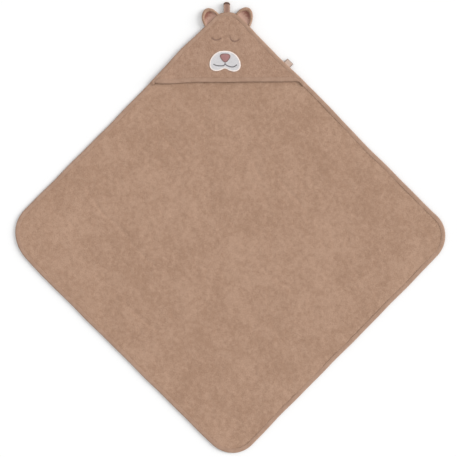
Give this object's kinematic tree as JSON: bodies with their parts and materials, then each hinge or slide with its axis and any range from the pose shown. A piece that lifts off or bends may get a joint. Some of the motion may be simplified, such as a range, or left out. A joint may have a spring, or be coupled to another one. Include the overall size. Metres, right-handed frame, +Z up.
{
  "type": "hooded baby towel",
  "caption": "Square terry baby towel, bound all round, with a corner hood that has an embroidered bear face and ears, and a loop to hang it by.",
  "frame": {"origin": "on the underside of the towel, at the centre of its square", "axes": "+Z up out of the cloth, +Y along the diagonal towards the hood's corner, +X towards the right corner as seen from above with the hood away"},
  "size_m": [1.0068, 1.0368, 0.0172],
  "materials": {
    "terry": "looped cotton terry, mid brown",
    "binding_tape": "plain woven cotton binding, mid brown",
    "ear_lining": "short-pile lining, dark rosy brown",
    "loop_tape": "twill tape, brown",
    "cream_cloth": "embroidered filling, off-white",
    "cream_thread": "satin stitch, cream",
    "rose_thread": "satin stitch, dusty rose",
    "dark_rose_thread": "satin stitch, grey rose",
    "grey_thread": "satin stitch, dark grey",
    "brown_thread": "satin stitch, brown",
    "woven_label": "woven satin, beige, blank"
  },
  "bodies": {
    "towel": {"towel_panel": "terry", "edge_binding": "binding_tape", "hood_seam_margin": "terry"},
    "hood": {"hood_panel": "terry", "hood_binding": "binding_tape", "muzzle_patch": "cream_cloth", "muzzle_border": "cream_thread", "nose": "rose_thread", "nose_border": "dark_rose_thread", "philtrum": "grey_thread", "mouth_left": "grey_thread", "mouth_right": "grey_thread", "eye_left": "brown_thread", "eye_right": "brown_thread"},
    "ear_left": {"ear_left_terry": "terry", "ear_left_lining": "ear_lining"},
    "ear_right": {"ear_right_terry": "terry", "ear_right_lining": "ear_lining"},
    "loop": {"hanging_loop": "loop_tape"},
    "label": {"side_label": "woven_label"}
  },
  "joints": [
    {"name": "hood_lift", "type": "hinge", "parent": "towel", "child": "hood", "pos_m": [0, 0.4993, 0.00685], "axis": [-1, 0, 0], "range_deg": [0, 30]},
    {"name": "ear_left_fold", "type": "hinge", "parent": "towel", "child": "ear_left", "pos_m": [-0.03677, 0.49356, 0.00765], "axis": [0.7071, 0.7071, 0], "range_deg": [0, 90]},
    {"name": "ear_right_fold", "type": "hinge", "parent": "towel", "child": "ear_right", "pos_m": [0.03677, 0.49356, 0.00765], "axis": [0.7071, -0.7071, 0], "range_deg": [0, 90]},
    {"name": "loop_swing", "type": "hinge", "parent": "towel", "child": "loop", "pos_m": [-0.002, 0.51259, 0.00367], "axis": [1, 0, 0], "range_deg": [-45, 45]},
    {"name": "label_flip", "type": "hinge", "parent": "towel", "child": "label", "pos_m": [0.14064, 0.39096, 0.00367], "axis": [0.7071, -0.7071, 0], "range_deg": [-30, 80]}
  ]
}
